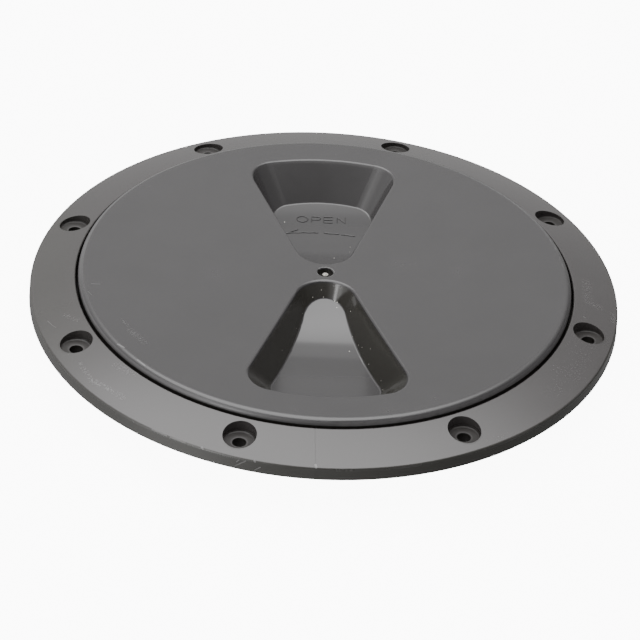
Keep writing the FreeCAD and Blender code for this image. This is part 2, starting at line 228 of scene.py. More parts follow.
class PlateStage(bpy.types.PropertyGroup):
    """Camera, floor and light."""

    camera_azimuth: bpy.props.FloatProperty(
        name="Camera azimuth", description="How far the view is turned from +Y towards +X",
        default=math.radians(7.793), unit="ROTATION")
    camera_elevation: bpy.props.FloatProperty(
        name="Camera elevation", description="How far the camera looks down",
        default=math.radians(35.57), unit="ROTATION")
    camera_roll: bpy.props.FloatProperty(
        name="Camera roll", description="How far the camera is rolled about its line of sight",
        default=math.radians(3.642), unit="ROTATION")
    camera_distance: bpy.props.FloatProperty(
        name="Camera distance", description="From the camera to its target",
        default=701.31 * MM, unit="LENGTH")
    camera_target: bpy.props.FloatVectorProperty(
        name="Camera target", description="The point in the middle of the picture", subtype="TRANSLATION",
        default=(-4.25 * MM, -24.97 * MM, 6.2 * MM))
    lens: bpy.props.FloatProperty(
        name="Lens", description="Focal length on a sensor 36 mm wide", default=119.9, unit="CAMERA")
    floor_size: bpy.props.FloatProperty(
        name="Floor size", description="Side of the square floor", default=12.0, unit="LENGTH")
    floor_colour: bpy.props.FloatVectorProperty(
        name="Floor", description="Colour of the floor", subtype="COLOR",
        min=0, max=1, default=(0.3, 0.3, 0.3))
    floor_glow: bpy.props.FloatProperty(
        name="Floor glow", description="Light that the floor gives off, which keeps shadows on it faint",
        default=10.0)
    overhead: bpy.props.FloatProperty(
        name="Overhead light", description="Brightness of the sky straight above", default=7.0)


def lid_top(radius, form):
    """Height of the lid's dished top at a radius: a sphere through its middle and its edge.

    The radius may be numbers or a material's socket, and so may the distance that recess_floor takes.
    """
    sphere = (LID_RADIUS ** 2 + form.lid_dish ** 2) / (2 * form.lid_dish)
    return form.lid_edge_height - form.lid_dish + sphere - (sphere ** 2 - radius * radius) ** 0.5


def recess_floor(along, form):
    """Height of a recess floor at a distance along the recess line: a cylinder that lies across the line."""
    low = lid_top(form.floor_low_point, form) - form.recess_depth
    out = along - form.floor_low_point
    return low + form.floor_radius - (form.floor_radius ** 2 - out * out) ** 0.5


def mesh_object(name, points, faces):
    """A smooth mesh object at the origin from an array of points and a list of faces."""
    mesh = bpy.data.meshes.new(name)
    mesh.from_pydata(points.tolist(), [], faces)
    mesh.polygons.foreach_set("use_smooth", np.ones(len(mesh.polygons), bool))
    mesh.update()
    piece = bpy.data.objects.new(name, mesh)
    bpy.context.scene.collection.objects.link(piece)
    return piece


def grid_faces(rows, columns, first):
    """Quads of a grid that closes round its columns, as point numbers from the first."""
    row, column = np.meshgrid(np.arange(rows - 1), np.arange(columns), indexing="ij")
    beside = (column + 1) % columns
    quads = np.stack([row * columns + column, row * columns + beside,
                      (row + 1) * columns + beside, (row + 1) * columns + column], axis=-1)
    return (quads.reshape(-1, 4) + first).tolist()


def even_path(corners, step):
    """Points a step apart along straight lines through the corners."""
    corners = np.asarray(corners, float)
    travelled = np.concatenate([[0], np.cumsum(np.linalg.norm(np.diff(corners, axis=0), axis=1))])
    places = np.linspace(0, travelled[-1], max(int(travelled[-1] / step), 2) + 1)
    return np.stack([np.interp(places, travelled, values) for values in corners.T], axis=1)


def bead(path, normals, width, relief, sides=12, sink=0.35):
    """Points and faces of one raised stroke along a path on a surface with the given normals.

    A point at angle v round the section lies half the width times cos v beside the path, and the relief
    times sin v above the surface, or that times the sink where sin v is negative. Both shrink to nothing at
    the ends as a circle's height does, over half the width, and one point closes each end.
    """
    travelled = np.concatenate([[0], np.cumsum(np.linalg.norm(np.diff(path, axis=0), axis=1))])
    from_end = np.minimum(travelled, travelled[-1] - travelled)
    taper = np.sqrt(1 - (1 - np.clip(from_end / (width / 2), 0.02, 1)) ** 2)[:, None, None]
    beside = np.cross(np.gradient(path, axis=0), normals)
    beside /= np.linalg.norm(beside, axis=1)[:, None]
    angle = np.arange(sides) * 2 * math.pi / sides
    across = (np.cos(angle) * width / 2)[None, :, None]
    rise = (np.where(np.sin(angle) > 0, np.sin(angle), np.sin(angle) * sink) * relief)[None, :, None]
    points = path[:, None] + taper * (beside[:, None] * across + normals[:, None] * rise)
    rows, columns = len(path), np.arange(sides)
    first_end, last_end, last_row = rows * sides, rows * sides + 1, (rows - 1) * sides
    faces = grid_faces(rows, sides, 0)
    faces += [[first_end, (column + 1) % sides, column] for column in columns.tolist()]
    faces += [[last_end, last_row + column, last_row + (column + 1) % sides] for column in columns.tolist()]
    return np.concatenate([points.reshape(-1, 3), path[[0, -1]]]), faces


def beads(name, strokes, width, relief):
    """One object of several raised strokes, each a path and its normals."""
    all_points, all_faces = [], []
    count = 0
    for path, normals in strokes:
        points, faces = bead(path, normals, width, relief)
        all_points.append(points)
        all_faces += [[number + count for number in face] for face in faces]
        count += len(points)
    return mesh_object(name, np.concatenate(all_points), all_faces)


def on_far_floor(plan, form):
    """A path on the far recess's floor and its normals, from places across and along the recess.

    The floor is a cylinder across the recess line, so its slope along the line is the distance from the low
    point divided by the height of the cylinder's axis above the floor. The whole is then turned about Z by
    the lid's angle.
    """
    across, along = plan.T
    out = along - form.floor_low_point
    slope = out / np.sqrt(form.floor_radius ** 2 - out ** 2)
    path = np.stack([across, along, recess_floor(along, form)], axis=1)
    normals = np.stack([np.zeros(len(plan)), -slope, np.ones(len(plan))], axis=1)
    normals /= np.linalg.norm(normals, axis=1)[:, None]
    cos, sin = math.cos(form.lid_angle), math.sin(form.lid_angle)
    spin = np.array([[cos, sin, 0], [-sin, cos, 0], [0, 0, 1]])
    return path @ spin, normals @ spin


def over_flange(azimuth, lean, form, start, foot, step):
    """A path over the flange to its side wall at an azimuth, and its normals.

    It runs down the crowned top from a radius, whose height above the straight line is four times the crown
    times the shares travelled and left, round the edge on its arc, and down the side wall to a height above
    the deck. On the top it stands further round by the lean times the share of the way that is left.
    """
    rim = np.array([form.pocket_radius, form.pocket_rim_height])
    edge = np.array([RING_RADIUS - form.flange_edge_draft, form.flange_edge_height])
    base = np.array([RING_RADIUS, 0.0])
    top_normal, wall_normal = [np.array([first[1] - last[1], last[0] - first[0]]) / math.dist(first, last)
                               for first, last in ((rim, edge), (edge, base))]
    centre = edge - form.flange_edge_round * (top_normal + wall_normal) / (1 + top_normal @ wall_normal)
    turns = np.linspace(math.atan2(*top_normal[::-1]), math.atan2(*wall_normal[::-1]), 12)
    round_normals = np.stack([np.cos(turns), np.sin(turns)], axis=1)
    around = centre + form.flange_edge_round * round_normals
    first = rim + (edge - rim) * (start - rim[0]) / (edge[0] - rim[0])
    over_top = even_path([first, around[0]], step)[:-1]
    share = (over_top[:, 0] - rim[0]) / (edge[0] - rim[0])
    over_top = over_top + top_normal * (4 * form.crown_bulge * share * (1 - share))[:, None]
    last = edge + (base - edge) * (edge[1] - foot) / (edge[1] - base[1])
    down_wall = even_path([around[-1], last], step)[1:]
    section = np.concatenate([over_top, around, down_wall])
    normals = np.concatenate([np.tile(top_normal, (len(over_top), 1)), round_normals,
                              np.tile(wall_normal, (len(down_wall), 1))])
    left = np.clip((edge[0] - section[:, 0]) / (edge[0] - rim[0]), 0, 1)
    angle = azimuth + lean * left

    def placed(part):
        return np.stack([part[:, 0] * np.cos(angle), part[:, 0] * np.sin(angle), part[:, 1]], axis=1)

    return placed(section), placed(normals)


class Socket:
    """A node's output that can stand in sums: each operator adds the Math node for it."""

    def __init__(self, shading, output):
        self.shading = shading
        self.output = output

    def math(self, operation, *others):
        inputs = dict(enumerate((self,) + others))
        return self.shading.node("ShaderNodeMath", {"operation": operation}, inputs)

    def __add__(self, other):
        return self.math("ADD", other)

    def __sub__(self, other):
        return self.math("SUBTRACT", other)

    def __mul__(self, other):
        return self.math("MULTIPLY", other)

    def __pow__(self, other):
        return self.math("POWER", other)

    def __rsub__(self, other):
        return self.shading.node("ShaderNodeMath", {"operation": "SUBTRACT"}, {0: other, 1: self})

    __radd__ = __add__
    __rmul__ = __mul__

    def clamp(self, low, high):
        return self.shading.node("ShaderNodeClamp", inputs={0: self, 1: low, 2: high})

    def fade(self, low, high):
        """0 at low and 1 at high, smooth between them; high may be the smaller of the two."""
        return self.shading.node("ShaderNodeMapRange", {"interpolation_type": "SMOOTHSTEP"},
                                 {"Value": self, "From Min": low, "From Max": high})


class Shading:
    """The node tree of one material or world. Every node comes from node()."""

    def __init__(self, tree):
        self.tree = tree
        tree.nodes.clear()

    def node(self, kind, settings=None, inputs=None, output=0):
        """A node of a type, with its settings made first and then the values or links of its sockets."""
        node = self.tree.nodes.new(kind)
        for name, value in (settings or {}).items():
            if name == "stops":
                self.set_stops(node.color_ramp, value)
            else:
                setattr(node, name, value)
        for key, value in (inputs or {}).items():
            if isinstance(value, Socket):
                self.tree.links.new(value.output, node.inputs[key])
            else:
                node.inputs[key].default_value = value
        return Socket(self, node.outputs[output]) if node.outputs else None

    def set_stops(self, ramp, stops):
        """A ramp's stops, as pairs of place and brightness."""
        while len(ramp.elements) < len(stops):
            ramp.elements.new(0.5)
        for element, (place, level) in zip(ramp.elements, stops):
            element.position = place
            element.color = (level, level, level, 1)

    def parts(self, vector):
        """The three parts of a vector."""
        split = self.node("ShaderNodeSeparateXYZ", inputs={0: vector})
        return [Socket(self, output) for output in split.output.node.outputs]

    def vector_math(self, operation, first, second=None, output=0, scale=None):
        inputs = {0: first}
        if second is not None:
            inputs[1] = second
        if scale is not None:
            inputs["Scale"] = scale
        return self.node("ShaderNodeVectorMath", {"operation": operation}, inputs, output)

    def mix(self, factor, first, second):
        """A colour between two colours."""
        return self.node("ShaderNodeMix", {"data_type": "RGBA"}, {0: factor, 6: first, 7: second}, output=2)


class Place:
    """A shaded point of a surface: its vector, the vector's parts and its distance from the Z axis."""

    def __init__(self, shading):
        self.shading = shading
        self.vector = shading.node("ShaderNodeTexCoord", output="Object")
        self.x, self.y, self.height = shading.parts(self.vector)
        self.radius = (self.x * self.x + self.y * self.y) ** 0.5

    def noise(self, size, detail=2.0):
        """Cloudy noise from 0 to 1, with lumps of a size in metres."""
        inputs = {"Vector": self.vector, "Scale": 1 / size, "Detail": detail}
        return self.shading.node("ShaderNodeTexNoise", inputs=inputs)

    def near_line(self, first, last, width):
        """1 on the straight line between two points, fading to 0 at the width from it."""
        first, last = Vector(first), Vector(last)
        span = last - first
        out = self.shading.vector_math("SUBTRACT", self.vector, first)
        share = self.shading.vector_math("DOT_PRODUCT", out, span / span.length_squared, output=1)
        foot = self.shading.vector_math("SCALE", span, scale=share.clamp(0, 1))
        return self.shading.vector_math("DISTANCE", out, foot, output=1).fade(width, width * 0.2)

    def near_point(self, point, size):
        """1 at a point, fading to 0 at the size from it."""
        return self.shading.vector_math("DISTANCE", self.vector, point, output=1).fade(size, size * 0.4)


def rgba(colour):
    return (*colour, 1)


def nowhere(place):
    """A mask that is 0 all over."""
    return 0.0


def plastic(name, base, wear_and_highlights, dust, painted_shade, polish=nowhere, painted_tint=nowhere, sunk=nowhere):
    """Satin moulded plastic with fine grain and faint mottling.

    The functions say where it is worn and given painted highlights, dusty, darkened with painted shade,
    polished, given a painted warm tint, and rough at the foot of a pocket. Each takes the place on the
    surface and gives a mask from 0 to 1.
    """
    finish = bpy.context.scene.plate_finish
    material = bpy.data.materials.new(name)
    material.use_nodes = True
    shading = Shading(material.node_tree)
    place = Place(shading)
    worn_and_highlights, dusty, smooth = wear_and_highlights(place), dust(place), polish(place)

    grain = place.noise(finish.grain_size)
    mottling, speckle = place.noise(finish.mottling_size, 3.0) - 0.5, grain - 0.5
    colour = shading.mix(painted_tint(place), rgba(base), rgba(finish.painted_tint_colour))
    colour = shading.vector_math("SCALE", colour, scale=1 + finish.mottling_tone * mottling + 0.04 * speckle)
    # Wear and painted highlights share this light colour
    colour = shading.mix(worn_and_highlights, colour, rgba(finish.worn_and_highlight_colour))
    colour = shading.mix(dusty, colour, rgba(finish.dust_colour))

    roughness = finish.satin + (finish.polished - finish.satin) * smooth
    roughness = roughness + (finish.sunk - finish.satin) * sunk(place)
    roughness = roughness + 0.05 * mottling + 0.02 * speckle + 0.22 * worn_and_highlights + 0.4 * dusty
    # In heights of the grain: polish leaves a fifth, dust stands up by four, wear and painted light by almost
    # one
    height = grain * (1 - 0.8 * smooth) + 4.0 * dusty + 0.8 * worn_and_highlights
    normal = shading.node("ShaderNodeBump", inputs={"Height": height, "Distance": finish.grain_height})
    clean = shading.node("ShaderNodeBsdfPrincipled", inputs={
        "Base Color": colour, "Roughness": roughness, "Normal": normal, "IOR": 1.5})
    # Painted shade: a dark, rough surface mixed in by the painted-shade mask
    painted_shade_surface = shading.node("ShaderNodeBsdfPrincipled", inputs={
        "Base Color": rgba(finish.painted_shade_colour), "Roughness": 0.8, "Specular IOR Level": 0.12})
    surface = shading.node("ShaderNodeMixShader", inputs={0: painted_shade(place), 1: clean, 2: painted_shade_surface})
    shading.node("ShaderNodeOutputMaterial", inputs={"Surface": surface})
    return material


def finish_node(node, material):
    """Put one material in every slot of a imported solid."""
    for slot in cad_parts[node].material_slots:
        slot.material = material


def dress(piece, body):
    """Give a raised detail its carrier's material, slot and body."""
    node = {"lid": "screw_lid", "ring": "deck_ring"}[body]
    piece.data.materials.append(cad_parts[node].material_slots[0].material)
    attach(piece, body)


# Marks on the deck ring, each between two points in millimetres, with its width and strength: scuffed bands,
# then fine scratches
RING_SCUFFS = (
    ((-82.9, -45.6, 5.4), (-79.1, -54.2, 5.1), 1.3, 0.4),
    ((-79.1, -54.2, 5.1), (-75.8, -57.0, 5.3), 1.5, 0.8),
    ((-75.8, -57.0, 5.3), (-73.4, -59.5, 5.4), 1.2, 0.6),
    ((-73.4, -59.5, 5.4), (-69.9, -63.4, 5.4), 1.5, 0.5),
    ((-71.6, -48.9, 7.2), (-66.1, -54.1, 7.5), 2.2, 0.2),
    ((-87.6, -20.3, 6.5), (-83.5, -24.1, 7.1), 1.4, 0.25),
    ((88.9, -6.0, 6.6), (87.2, -16.5, 6.4), 2.6, 0.2),
    ((87.0, -17.0, 6.4), (90.5, -20.0, 5.5), 2.4, 0.2),
    ((95.3, -22.0, 4.8), (94.3, -26.3, 4.8), 1.6, 0.25),
    ((84.0, -36.0, 6.3), (67.0, -63.0, 6.0), 10.0, 0.055),
)
RING_SCRATCHES = (
    ((-93.2, -21.6, 5.1), (-91.6, -24.4, 5.3), 0.22, 0.22),
    ((-91.6, -24.4, 5.3), (-90.5, -25.8, 5.5), 0.22, 0.18),
    ((-36.6, -92.4, 0.9), (-33.6, -93.5, 3.5), 0.28, 0.6),
    ((-30.8, -94.5, 0.8), (-29.2, -95.0, 2.2), 0.28, 0.6),
    ((-36.2, -92.6, 2.6), (-35.5, -92.8, 3.4), 0.28, 0.6),
    ((-31.0, -94.2, 4.1), (-30.8, -94.4, 3.9), 0.4, 0.7),
    ((-46.5, -87.4, 4.2), (-46.2, -87.7, 4.0), 0.45, 0.8),
    ((-61.2, -78.0, 4.1), (-57.0, -81.2, 4.1), 0.3, 0.5),
    ((-55.8, -82.0, 4.1), (-51.5, -84.8, 4.1), 0.3, 0.5),
    ((-12.7, -97.2, 4.5), (-12.6, -98.2, 4.3), 0.5, 1.0),
    ((83.9, -26.5, 7.2), (84.5, -26.9, 7.1), 0.5, 0.5),
)
# Scuffs on the lid, in the same way, then a painted highlight on the near recess's narrow end
# and a painted streak down its wall
LID_SCUFFS_AND_STREAK = (
    ((-66.8, -33.5, 9.6), (-62.2, -40.4, 9.5), 1.6, 0.3),
    ((-69.0, -27.5, 9.5), (-67.5, -31.0, 9.5), 1.0, 0.25),
    # Painted highlight on the near recess's narrow end, then a painted streak down its wall
    ((2.4, -6.3, 7.0), (4.3, -7.4, 7.0), 0.8, 0.9),
    ((2.8, -7.2, 5.8), (2.8, -8.4, 3.6), 0.5, 0.5),
)
# Scratches on the lid, and painted glints on its rounded edge
LID_SCRATCHES_AND_GLINTS = (
    ((-78.8, -7.3, 9.7), (-76.0, -7.4, 9.6), 0.25, 0.22),
    ((-79.9, -11.9, 9.7), (-78.9, -13.6, 9.7), 0.25, 0.22),
    ((-70.9, -41.1, 9.7), (-68.9, -43.2, 9.8), 0.35, 0.6),
    ((-64.8, -49.8, 9.7), (-62.6, -52.8, 9.7), 0.35, 0.6),
    ((8.0, -13.8, 6.6), (8.6, -15.6, 6.0), 1.5, 0.3),
)
# Dust grains in the finger recesses, in millimetres, each with its brightness
RECESS_DUST = (
    ((-4.9, -8.1, 3.5), 0.8), ((-1.2, -7.5, 3.1), 0.7), ((-8.7, -13.8, 1.0), 0.5), ((3.0, -11.3, 1.4), 0.7),
    ((7.1, -15.7, 2.9), 0.8), ((7.2, -23.7, -1.8), 0.4), ((8.6, -28.5, -1.7), 0.4), ((9.5, -30.8, -1.0), 0.4),
    ((11.6, -35.1, 1.6), 0.35), ((5.5, -29.9, -3.2), 1.0), ((-11.4, -20.8, -0.1), 0.35),
    ((-17.2, -33.2, 0.2), 0.3), ((10.9, -38.2, -2.4), 0.5), ((13.9, -51.5, -2.8), 0.6),
    ((13.7, -47.9, -1.8), 0.35), ((-1.9, -6.5, 5.3), 0.5), ((2.5, -9.0, 2.4), 1.0), ((3.3, -9.5, 2.3), 1.0),
    ((-9.2, 49.5, -3.8), 0.8), ((12.7, 32.6, -3.7), 0.4), ((12.2, 28.8, -3.2), 0.25),
    ((6.0, 23.7, -2.3), 0.8),
)
DUST_GRAIN = 0.22 * MM


def in_metres(point):
    """A point that is given in millimetres."""
    return [part * MM for part in point]


def strongest(masks):
    """The strongest of several masks."""
    total = masks[0]
    for mask in masks[1:]:
        total = total.math("MAXIMUM", mask)
    return total


def marks(place, lines):
    """The strongest of several thin marks."""
    return strongest([strength * place.near_line(in_metres(first), in_metres(last), width * MM)
                      for first, last, width, strength in lines])


def flecked(place, lines):
    """Scuffed bands broken into short light flecks."""
    return marks(place, lines) * place.noise(0.5 * MM, 4.0).fade(0.48, 0.68)


def near_value(value, middle, reach):
    """1 where a value lies close to a middle, fading to 0 at the reach from it."""
    return (value - middle).math("ABSOLUTE").fade(reach, 0.3 * reach)


def ring_wear_and_highlights(place):
    """Scuffs and fine scratches, a rubbed outer edge that is partly a painted highlight, and a painted
    highlight round each screw hole.
    """
    form = bpy.context.scene.plate_form
    # The outer edge: rubbed, and partly a painted highlight
    edge = near_value(place.radius, RING_RADIUS - 0.5 * MM, 0.6 * MM)
    edge = edge * near_value(place.height, form.flange_edge_height - 0.5 * MM, 0.6 * MM)
    edge = edge * place.noise(22 * MM).fade(0.3, 0.8)
    # A painted highlight round the edge of each screw hole
    holes = near_value(screw_distance(place), form.screw_hole_radius + 0.3 * MM, 0.35 * MM)
    holes = holes * near_value(place.height, form.screw_seat_height, 0.3 * MM)
    return strongest([flecked(place, RING_SCUFFS), marks(place, RING_SCRATCHES), 0.15 * edge, 0.3 * holes])


def lid_wear_and_highlights(place):
    """Scuffs and fine scratches, painted glints and a painted highlight streak, painted light on the rim, and
    a painted highlight round the gate's dimple.

    The rim gets a painted reflection low down all the way round, and a painted highlight on top only far and
    left.
    """
    form = bpy.context.scene.plate_form
    top, middle = form.lid_edge_height, form.lid_edge_height - form.lid_dish
    # Painted highlight on top of the rim, only far and left
    upper_highlight = near_value(place.radius, LID_RADIUS - 1.1 * MM, 0.8 * MM)
    upper_highlight = upper_highlight * place.height.fade(top - 1.3 * MM, top - 0.9 * MM)
    upper_highlight = upper_highlight * (0.87 * place.y - 0.5 * place.x).fade(20 * MM, 60 * MM)
    # Painted reflection low on the rim, all the way round
    lower_reflection = place.radius.fade(LID_RADIUS - 1.3 * MM, LID_RADIUS - 0.3 * MM)
    lower_reflection = lower_reflection * near_value(place.height, top - 1.5 * MM, 1.1 * MM)
    # Painted highlight round the gate's dimple
    dimple_highlight = near_value(place.radius, form.gate_radius + 0.15 * MM, 0.3 * MM)
    dimple_highlight = dimple_highlight * place.height.fade(middle - 0.6 * MM, middle - 0.3 * MM)
    dimple_highlight = dimple_highlight * place.noise(1.5 * MM).fade(0.4, 0.6)
    scuffs_and_streak, scratches_and_glints = flecked(place, LID_SCUFFS_AND_STREAK), marks(place, LID_SCRATCHES_AND_GLINTS)
    return strongest([scuffs_and_streak, scratches_and_glints, 0.22 * upper_highlight, 0.2 * lower_reflection, 0.45 * dimple_highlight])


def ring_dust(place):
    """A few faint grains on the flange."""
    return 0.25 * place.noise(1.1 * MM, 1.0).fade(0.84, 0.9)


def lid_dust(place):
    """Grains in both finger recesses, and the whitened tip of the cut sprue."""
    form = bpy.context.scene.plate_form
    tip_height = form.lid_edge_height - form.lid_dish - form.sprue_tip_depth
    tip = place.radius.fade(form.sprue_radius, form.sprue_radius - 0.5 * MM)
    tip = tip * place.height.fade(tip_height - 0.5 * MM, tip_height - 0.2 * MM)
    tip = 0.7 * tip * place.noise(0.9 * MM, 3.0).fade(0.3, 0.6)
    grains = [brightness * place.near_point(in_metres(spot), DUST_GRAIN) for spot, brightness in RECESS_DUST]
    return strongest([tip, *grains])


def screw_distance(place):
    """Distance from the nearest screw's axis: the angle is folded into one step of the screws' pattern."""
    form = bpy.context.scene.plate_form
    step = 2 * math.pi / form.screw_count
    aside = place.y.math("ARCTAN2", place.x).math("FLOORED_MODULO", step) - step / 2
    across = place.radius * aside.math("SINE")
    out = place.radius * aside.math("COSINE") - form.screw_circle
    return (across * across + out * out) ** 0.5


def on_screw_seats(place):
    """1 on the seats of the screws' heads."""
    form = bpy.context.scene.plate_form
    wall, seat = form.screw_pocket_radius, form.screw_seat_height
    inside = screw_distance(place).fade(wall + 0.55 * MM, wall + 0.15 * MM)
    return inside * place.height.fade(seat + 1.1 * MM, seat + 0.7 * MM)


def ring_painted_shade(place):
    """Painted shade in the screw holes, low in the pocket round the lid, and faint in the screw heads'
    pockets.

    Their seats get more painted shade than their walls, most so on the right.
    """
    form = bpy.context.scene.plate_form
    height = place.height
    from_screw = screw_distance(place)
    hole, wall, seat = form.screw_hole_radius, form.screw_pocket_radius, form.screw_seat_height
    holes = from_screw.fade(hole + 0.3 * MM, hole + 0.1 * MM) * height.fade(seat + 0.1 * MM, seat - 0.3 * MM)
    pockets = from_screw.fade(wall + 0.75 * MM, wall + 0.55 * MM)
    pockets = pockets * height.fade(seat + 2.4 * MM, seat + 1.4 * MM)
    # Painted shade on the seats, stronger on the right, where less light falls
    seats = on_screw_seats(place) * (0.38 + 0.22 * place.x.fade(-70 * MM, 40 * MM))
    gap = place.radius.fade(form.pocket_radius + 0.3 * MM, form.pocket_radius + 0.1 * MM)
    gap = gap * height.fade(form.pocket_rim_height - 0.55 * MM, form.pocket_rim_height - 0.95 * MM)
    return strongest([0.92 * holes, 0.9 * gap, 0.2 * pockets, seats])


def lid_painted_shade(place):
    """Painted shade low on the lid's rim, in the gap round it."""
    level = bpy.context.scene.plate_form.pocket_rim_height
    rim = place.radius.fade(LID_RADIUS - 0.6 * MM, LID_RADIUS - 0.3 * MM)
    return 0.9 * rim * place.height.fade(level + 0.2 * MM, level - 0.05 * MM)


def in_recess(place):
    """1 on what lies below the lid's dished top, inside its rim."""
    below = lid_top(place.radius, bpy.context.scene.plate_form) - place.height
    return below.fade(0.5 * MM, 1.2 * MM) * place.radius.fade(LID_RADIUS - 6 * MM, LID_RADIUS - 8 * MM)


def on_recess_floor(place):
    """1 on the scooped floors: close to the height of the floor at the distance along the recess line."""
    form = bpy.context.scene.plate_form
    along = (math.cos(form.lid_angle) * place.y - math.sin(form.lid_angle) * place.x).math("ABSOLUTE")
    return (place.height - recess_floor(along, form)).fade(0.5 * MM, 0.2 * MM)


def recess_polish(place):
    """How smooth the recesses are: most on the near floor's narrow end, least on its wide end.

    The ends meet at the floor's low point. The walls and the far floor lie between.
    """
    low_point = -bpy.context.scene.plate_form.floor_low_point
    wide_end = place.y.fade(low_point + 4 * MM, low_point - 4 * MM)
    narrow_end = place.y.fade(2 * MM, -2 * MM) * (1 - wide_end)
    floor = on_recess_floor(place) * (0.38 * narrow_end - 0.22 * wide_end - 0.08)
    return in_recess(place) * (0.7 + floor)


def recess_walls(place):
    """A painted warm tint of shade: 1 on the near recess's walls, and less on the far one's."""
    return in_recess(place) * (1 - on_recess_floor(place)) * place.y.fade(60 * MM, -10 * MM)


def flange_sides(place):
    """A painted warm tint: 1 on the flange's side wall, as painted shade, and fading in to 0.6 towards the
    left on its top, as a painted reflection.
    """
    wall = place.radius.fade(RING_RADIUS - 0.8 * MM, RING_RADIUS - 0.4 * MM)
    return wall.math("MAXIMUM", 0.6 * place.x.fade(-70 * MM, -95 * MM))


class DECKPLATE_OT_ring(bpy.types.Operator):
    """Finish the deck ring as satin moulded plastic with scuffs, rubbed edges, painted highlights and painted
    shade
    """
    bl_idname = "deckplate.ring"
    bl_label = "Finish the deck ring"

    def execute(self, context):
        colour = context.scene.plate_finish.ring_colour
        finish_node("deck_ring", plastic("ring_plastic", colour, ring_wear_and_highlights, ring_dust, ring_painted_shade,
                                         painted_tint=flange_sides, sunk=on_screw_seats))
        return {"FINISHED"}


class DECKPLATE_OT_lid(bpy.types.Operator):
    """Finish the screw lid: satin top, polished recesses with dust in them, painted highlights and painted
    shade
    """
    bl_idname = "deckplate.lid"
    bl_label = "Finish the screw lid"

    def execute(self, context):
        colour = context.scene.plate_finish.lid_colour
        finish_node("screw_lid", plastic("lid_plastic", colour, lid_wear_and_highlights, lid_dust, lid_painted_shade,
                                         polish=recess_polish, painted_tint=recess_walls))
        return {"FINISHED"}


class DECKPLATE_OT_seal(bpy.types.Operator):
    """Finish the lid's seal as dark rubber with a bloom"""
    bl_idname = "deckplate.seal"
    bl_label = "Finish the seal"

    def execute(self, context):
        finish = context.scene.plate_finish
        material = bpy.data.materials.new("seal_rubber")
        material.use_nodes = True
        shading = Shading(material.node_tree)
        place = Place(shading)
        bloom = place.noise(6 * MM, 4.0).fade(0.45, 0.75)
        grain = place.noise(0.3 * MM)
        colour = shading.mix(0.25 * bloom, rgba(finish.rubber_colour), rgba(finish.worn_and_highlight_colour))
        normal = shading.node("ShaderNodeBump", inputs={"Height": grain, "Distance": 0.01 * MM})
        surface = shading.node("ShaderNodeBsdfPrincipled", inputs={
            "Base Color": colour, "Roughness": 0.55 + 0.15 * bloom, "Normal": normal, "IOR": 1.52})
        shading.node("ShaderNodeOutputMaterial", inputs={"Surface": surface})
        finish_node("lid_seal", material)
        return {"FINISHED"}


# In millimetres: the letters' left and right edges across the recess, the points of the arrow's barb across
# and along it, and the ends of the pieces of its shaft
LETTER_EDGES = {"O": (-8.95, -5.05), "P": (-3.75, -0.5), "E": (0.65, 3.95), "N": (5.5, 8.45)}
ARROW_BARB = ((-12.9, 41.7), (-11.0, 42.7), (-8.5, 44.2))
ARROW_SHAFT = ((11.8, 6.7), (6.1, 0.6), (-1.3, -13.3))


def letter_strokes(foot, height):
    """Centre lines of the letters O, P, E and N, from the foot line and their height.

    O is an ellipse. P's bowl is a half circle between two short bars, with a radius of 0.27 of the height.
    """
    head, middle = foot + height, foot + height / 2
    step, bowl = 0.12 * MM, 0.27 * height
    turn = np.linspace(0.5 * math.pi, 2.5 * math.pi, 40)
    half_turn = np.linspace(0.5 * math.pi, -0.5 * math.pi, 16)

    left, right = in_metres(LETTER_EDGES["O"])
    across = (left + right) / 2 + (right - left) / 2 * np.cos(turn)
    strokes = [np.stack([across, middle + height / 2 * np.sin(turn)], axis=1)]
    left, right = in_metres(LETTER_EDGES["P"])
    across, along = right - bowl + bowl * np.cos(half_turn), head - bowl + bowl * np.sin(half_turn)
    strokes += [[(left, foot), (left, head)]]
    strokes += [[(left, head), *zip(across, along), (left, head - 2 * bowl)]]
    left, right = in_metres(LETTER_EDGES["E"])
    strokes += [[(left, foot), (left, head)]]
    strokes += [[(left, level), (right, level)] for level in (foot, middle, head)]
    left, right = in_metres(LETTER_EDGES["N"])
    strokes += [[(left, foot), (left, head)], [(left, head), (right, foot)], [(right, foot), (right, head)]]
    return [even_path(stroke, step) for stroke in strokes]


def arrow_strokes():
    """Centre lines of the arrow's barb and of its shaft.

    The shaft bows as a shallow parabola about its crest, and wavers by a tenth of a millimetre.
    """
    strokes = [even_path(np.array(ARROW_BARB) * MM, 0.15 * MM)]
    for start, end in ARROW_SHAFT:
        across = np.linspace(start, end, 40)
        along = 42.5 - 0.0075 * (across + 2.0) ** 2 + 0.1 * np.sin(1.7 * across)
        strokes.append(np.stack([across, along], axis=1) * MM)
    return strokes


class DECKPLATE_OT_lettering(bpy.types.Operator):
    """Raise the word OPEN on the far recess floor"""
    bl_idname = "deckplate.lettering"
    bl_label = "Add the lettering"

    def execute(self, context):
        form, lettering = context.scene.plate_form, context.scene.plate_lettering
        height = lettering.letter_height - lettering.stroke
        plans = letter_strokes(lettering.foot + lettering.stroke / 2, height)
        strokes = [on_far_floor(plan, form) for plan in plans]
        dress(beads("open_lettering", strokes, lettering.stroke, lettering.relief), "lid")
        return {"FINISHED"}


class DECKPLATE_OT_arrow(bpy.types.Operator):
    """Raise the long arrow below the word, which points the way the lid turns to open"""
    bl_idname = "deckplate.arrow"
    bl_label = "Add the arrow"

    def execute(self, context):
        form, lettering = context.scene.plate_form, context.scene.plate_lettering
        strokes = [on_far_floor(plan, form) for plan in arrow_strokes()]
        dress(beads("open_arrow", strokes, lettering.arrow_stroke, lettering.relief), "lid")
        return {"FINISHED"}


